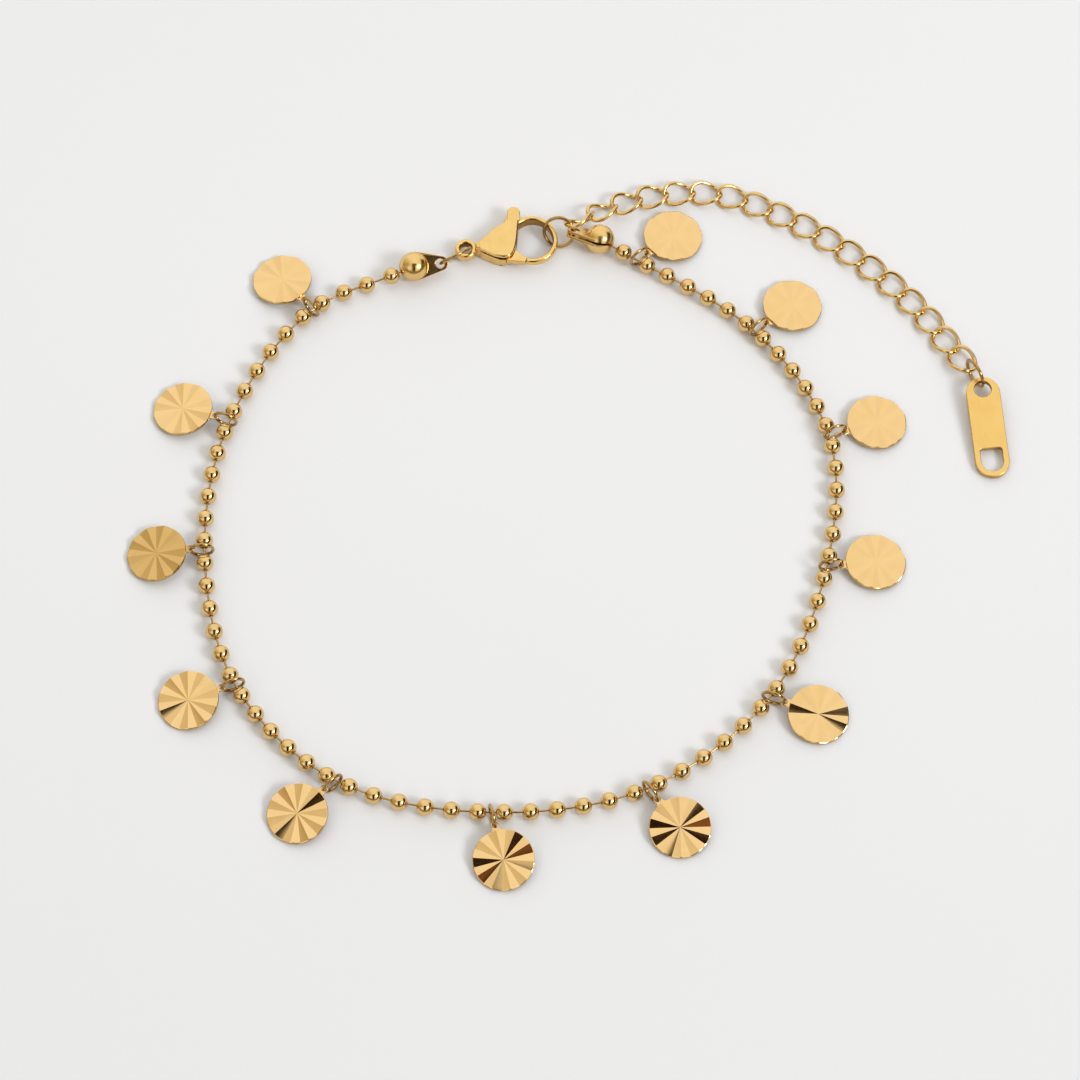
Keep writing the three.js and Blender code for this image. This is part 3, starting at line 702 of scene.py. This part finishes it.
claspLever = {"half": 0.49, "neck": 0.55, "armEdge": 0.3, "tab": (-1.78, 3.88), "tabRadius": 0.8,
              "knobLow": -0.7, "knobHigh": 1.0, "knobEdge": 0.16, "knobTurn": (-75, 95),
              "boss": 0.95, "bossHole": 0.5, "bossInset": 0.02, "bossEdge": 0.05,
              "gateReach": 3.78, "gateEnd": (-36.7, -26.8), "gateInner": (246.8, 205),
              "gateInset": 0.03, "gateEdge": 0.07}
knobCorners = [(-2.7, 2.8), (-1.2, 2.8)]  # the knob runs back to the cover's edge
gateCorners = [(-2.166, -1.01), (-2.9, -0.35), (-3.43, -0.4), (-3.43, -2.2), (-2.9, -2.4), (-2.2, -2.6),
               (-1.7, -2.71)]


def buildClaspLever():
    pivotX, pivotY = clasp["pivot"]
    tabX, tabY = claspLever["tab"]
    tabRadius = claspLever["tabRadius"]
    lean = math.atan2(tabY - pivotY, tabX - pivotX)
    sideX = claspLever["neck"] * math.sin(lean)
    sideY = -claspLever["neck"] * math.cos(lean)
    turn = math.degrees(lean)
    arm = [(pivotX + sideX, pivotY + sideY)]
    arm += arc(tabX, tabY, tabRadius, turn - 90, turn + 90, 21)
    arm += [(pivotX - sideX, pivotY - sideY)]
    knobFrom, knobTo = claspLever["knobTurn"]
    knob = arc(tabX, tabY, tabRadius, turn + knobFrom, turn + knobTo, 21) + knobCorners
    boss = [arc(pivotX, pivotY, claspLever["boss"], 0, 350, 36),
            arc(pivotX, pivotY, claspLever["bossHole"], 0, 348, 30)]
    gate = arc(pivotX, pivotY, claspLever["gateReach"], *claspLever["gateEnd"], 8)  # a circle round its rivet
    gate += arc(0, 0, clasp["hook"] - clasp["hookAcross"], *claspLever["gateInner"], 24)[:-1]
    gate += gateCorners
    half = claspLever["half"]
    bossTop = half - claspLever["bossInset"]
    gateTop = half - claspLever["gateInset"]
    parts = [
        plate([arm], -half, half, claspLever["armEdge"], 5),
        plate([knob], claspLever["knobLow"], claspLever["knobHigh"], claspLever["knobEdge"], 6),
        plate(boss, -bossTop, bossTop, claspLever["bossEdge"]),
        plate([gate], -gateTop, gateTop, claspLever["gateEdge"], 4),
    ]
    piece = addMesh("claspLever", *together(parts), "cast", claspMatrix())
    shadeByAngle(piece, clasp["crease"])
    return finishPiece(piece, "clasp_lever", "clasp_lever")


# end tag

endTag = {"length": 12.7, "width": 4.0, "thickness": 0.7, "hole": 1.55, "holeRadius": 1.0,
          "slotWidth": 2.6, "slotLength": 2.9, "slotEnd": 0.7, "slotCorner": 0.25, "edge": 0.1, "crease": 40}


def tagMatrix():  # the middle of the pierced end, from the ends of the CAD tag
    points = cadPoints("end_tag")
    upward = widestNormal("end_tag")
    middle, axes = spreadAxes(points)
    along = axes[0] if axes[0][2] < 0 else -axes[0]  # the slotted end is the low one
    reach = points @ along
    depth = points @ upward
    origin = middle + (reach.min() - middle @ along) * along + (depth.min() - middle @ upward) * upward
    return placed(origin, along, upward)


def buildTag():
    half = endTag["width"] / 2
    length = endTag["length"]
    outline = arc(half, 0, half, 90, 270, 30) + arc(length - half, 0, half, -90, 90, 30)
    hole = arc(endTag["hole"], 0, endTag["holeRadius"], 0, 350, 40)
    slotHalf = endTag["slotWidth"] / 2
    slotFlat = length - endTag["slotEnd"] - endTag["slotLength"]
    corner = endTag["slotCorner"]
    slot = arc(length - endTag["slotEnd"] - slotHalf, 0, slotHalf, -90, 90, 24)
    slot += arc(slotFlat + corner, slotHalf - corner, corner, 90, 180, 6)
    slot += arc(slotFlat + corner, corner - slotHalf, corner, 180, 270, 6)
    points, faces = plate([outline, hole, slot], 0, endTag["thickness"], endTag["edge"], 4)
    piece = addMesh("endTag", points, faces, "tag", tagMatrix())
    shadeByAngle(piece, endTag["crease"])
    # painted shade: the tag's edges get the darker ring gold
    paint(piece, "ring", lambda middle, normal: abs(normal[2]) < 0.3)
    # painted shade: the hole's inner wall gets the darkest gold
    holeReach = endTag["holeRadius"] + 2 * endTag["edge"]
    paint(piece, "paintedShade", lambda middle, normal: facesIn(middle, normal, endTag["hole"], holeReach))
    return finishPiece(piece, "end_tag")


buildBeadChain(capFrame("end_cap_left")[0])
print("bead chain made")
for index in range(1, 13):
    buildRing(f"dropRing{index:02d}", f"drop_ring_{index:02d}", dropRing)
    buildDisc(index)
print("drops made")
# painted shade: the left cap's tongue gets the darker ring gold
buildCap("endCapLeft", "end_cap_left", "ring")
buildCap("endCapRight", "end_cap_right")
buildRing("claspRing", "clasp_ring", claspRing)
buildRing("extenderRing", "extender_ring", extenderRing)
buildClaspBody()
buildClaspLever()
print("fastening made")
for index in range(1, 19):
    buildLink(index)
buildRing("tagRing", "tag_ring", tagRing)
buildTag()
print("extension and tag made")


# floor, surroundings and lights

# the floor is painted darker towards the front (-y): painted shade
floor = {"size": 3.0, "colour": (0.855, 0.872, 0.912, 1), "front": (0.81, 0.826, 0.864, 1),
         "fade": (-0.075, 0.05), "rough": 0.55, "gloss": 0.2, "grain": 60.0, "grainDepth": 0.01}
surround = {  # tilts are degrees from straight up, towards +X and +Y
    "strength": 1.0,
    "skyLeft": (0.64, 0.56, 0.38, 1), "skyRight": (1.12, 1.115, 1.10, 1),
    "skySpan": (-62, 4), "skySlant": 0.5,
    "skyFar": (0.99, 0.965, 0.91, 1), "farSpan": (5, 75),
}
walls = [  # low walls: the way they face, the lean that they start at and how square on they are seen
    {"faces": (0, -1, 0), "lean": (66, 76), "square": (0.2, 0.6), "colour": (0.36, 0.28, 0.17, 1)},
    {"faces": (1, 0, 0), "lean": (52, 62), "square": (0.68, 0.86), "colour": (0.05, 0.034, 0.02, 1)},
    {"faces": (0, -1, 0), "lean": (80, 86), "square": (-0.6, 0.0), "colour": (0.10, 0.075, 0.05, 1)},
]
skyBands = [
    {"from": (-41, -37), "to": (-34, -42), "half": 14, "soft": 10, "colour": (1.15, 1.13, 1.10, 1)},
    {"from": (-50, -4), "to": (-80, 6), "half": 9, "soft": 14, "colour": (0.50, 0.40, 0.24, 1)},
]
skyBlocks = [  # what the gold mirrors from in front of it: a dark box and the column below it
    {"x": (-14, 21), "y": (-23, -7.5), "soft": 4, "colour": (0.026, 0.010, 0.004, 1)},
    {"x": (-13, 15), "y": (-95, -20), "soft": 5, "colour": (0.026, 0.010, 0.004, 1)},
    {"x": (0, 8), "y": (-27, -19), "soft": 4, "colour": (0.26, 0.12, 0.055, 1)},
]
keyLight = {"x": 43, "y": -25, "distance": 1.6, "width": 0.55, "height": 0.46, "power": 9.5}


def tilted(x, y):  # direction that leans so many degrees towards +X and +Y
    lean = math.radians(math.hypot(x, y))
    heading = math.atan2(y, x)
    return Vector((math.sin(lean) * math.cos(heading), math.sin(lean) * math.sin(heading), math.cos(lean)))


def buildFloor():
    half = floor["size"] / 2
    mesh = bpy.data.meshes.new("floor")
    corners = [(-half, -half, 0), (half, -half, 0), (half, half, 0), (-half, half, 0)]
    mesh.from_pydata(corners, [], [(0, 1, 2, 3)])
    material, val, shader = newMaterial("paleFloor")
    place = val.node("ShaderNodeTexCoord", outlet=3)
    grain = val.node("ShaderNodeTexNoise", {}, {"Vector": place, "Scale": floor["grain"], "Detail": 3.0})
    depth = val.node("ShaderNodeSeparateXYZ", {}, {0: place}, 1) + grain * floor["grainDepth"]
    # painted shade: the floor colour fades to the darker front colour towards -y
    colour = depth.span(*floor["fade"]).mixColour(floor["front"], floor["colour"])
    val.feed(shader.inputs["Base Color"], colour)
    shader.inputs["Roughness"].default_value = floor["rough"]
    shader.inputs["Specular IOR Level"].default_value = floor["gloss"]
    mesh.materials.append(material)
    ground = bpy.data.objects.new("floor", mesh)
    bpy.context.scene.collection.objects.link(ground)


def buildSurround():
    world = bpy.data.worlds.new("surround")
    world.use_nodes = True
    bpy.context.scene.world = world
    val = Val(world.node_tree)
    direction = val.node("ShaderNodeTexCoord", outlet=0)
    height = val.node("ShaderNodeSeparateXYZ", {}, {0: direction}, 2)
    lean = val.maths("ARCCOSINE", height) * math.degrees(1)
    level = val.vector("NORMALIZE", val.vector("MULTIPLY", direction, (1, 1, 0)))
    tilt = val.node("ShaderNodeVectorMath", {"operation": "SCALE"}, {0: level, "Scale": lean})
    across = val.node("ShaderNodeSeparateXYZ", {}, {0: tilt}, 0)
    away = val.node("ShaderNodeSeparateXYZ", {}, {0: tilt}, 1)
    side = (across + away * surround["skySlant"]).span(*surround["skySpan"])
    colour = side.mixColour(surround["skyLeft"], surround["skyRight"])
    colour = across.span(*surround["farSpan"]).mixColour(colour, surround["skyFar"])
    for patch in skyBands:
        first = Vector((*patch["from"], 0))
        last = Vector((*patch["to"], 0))
        along = (last - first).normalized()
        offset = val.vector("SUBTRACT", tilt, first)
        reach = val.vector("DOT_PRODUCT", offset, along, 1)
        reach = val.maths("MINIMUM", val.maths("MAXIMUM", reach, 0.0), (last - first).length)
        nearest = val.node("ShaderNodeVectorMath", {"operation": "SCALE"}, {0: along, "Scale": reach})
        apart = val.vector("DISTANCE", offset, nearest, 1)
        soft = patch["soft"] / 2
        share = apart.span(patch["half"] - soft, patch["half"] + soft, 1.0, 0.0)
        colour = share.mixColour(colour, patch["colour"])
    for block in skyBlocks:
        soft = block["soft"] / 2
        share = 1.0
        for tiltPart, (low, high) in ((across, block["x"]), (away, block["y"])):
            inside = tiltPart.span(low - soft, low + soft) * tiltPart.span(high - soft, high + soft, 1.0, 0.0)
            share = inside * share
        colour = share.mixColour(colour, block["colour"])
    for wall in walls:
        square = val.vector("DOT_PRODUCT", level, wall["faces"], 1)
        share = lean.span(*wall["lean"]) * square.span(*wall["square"])
        colour = share.mixColour(colour, wall["colour"])
    background = world.node_tree.nodes["Background"]
    val.feed(background.inputs["Color"], colour)
    background.inputs["Strength"].default_value = surround["strength"]


def buildKeyLight():
    light = bpy.data.lights.new("keyLight", "AREA")
    light.shape = "RECTANGLE"
    light.size = keyLight["width"]
    light.size_y = keyLight["height"]
    light.energy = keyLight["power"]
    lamp = bpy.data.objects.new("keyLight", light)
    towards = tilted(keyLight["x"], keyLight["y"])
    lamp.location = towards * keyLight["distance"]
    lamp.rotation_euler = towards.to_track_quat("Z", "Y").to_euler()
    bpy.context.scene.collection.objects.link(lamp)


cameraView = {"aim": (-3.516, -1.979, 0.0), "elevation": 63.0, "distance": 540.0, "lens": 155.52,
              "sensor": 36.0, "clip": (0.01, 10.0)}


def buildCamera():
    camera = bpy.data.cameras.new("camera")
    camera.lens = cameraView["lens"]
    camera.sensor_width = cameraView["sensor"]
    camera.clip_start, camera.clip_end = cameraView["clip"]
    eye = bpy.data.objects.new("camera", camera)
    rise = math.radians(cameraView["elevation"])
    away = Vector((0, -math.cos(rise), math.sin(rise)))
    eye.location = (Vector(cameraView["aim"]) + away * cameraView["distance"]) * mm
    eye.rotation_euler = away.to_track_quat("Z", "Y").to_euler()
    bpy.context.scene.collection.objects.link(eye)
    bpy.context.scene.camera = eye


buildFloor()
buildSurround()
buildKeyLight()
buildCamera()
bpy.context.scene.view_settings.view_transform = "Standard"
print("stage, light and camera made")
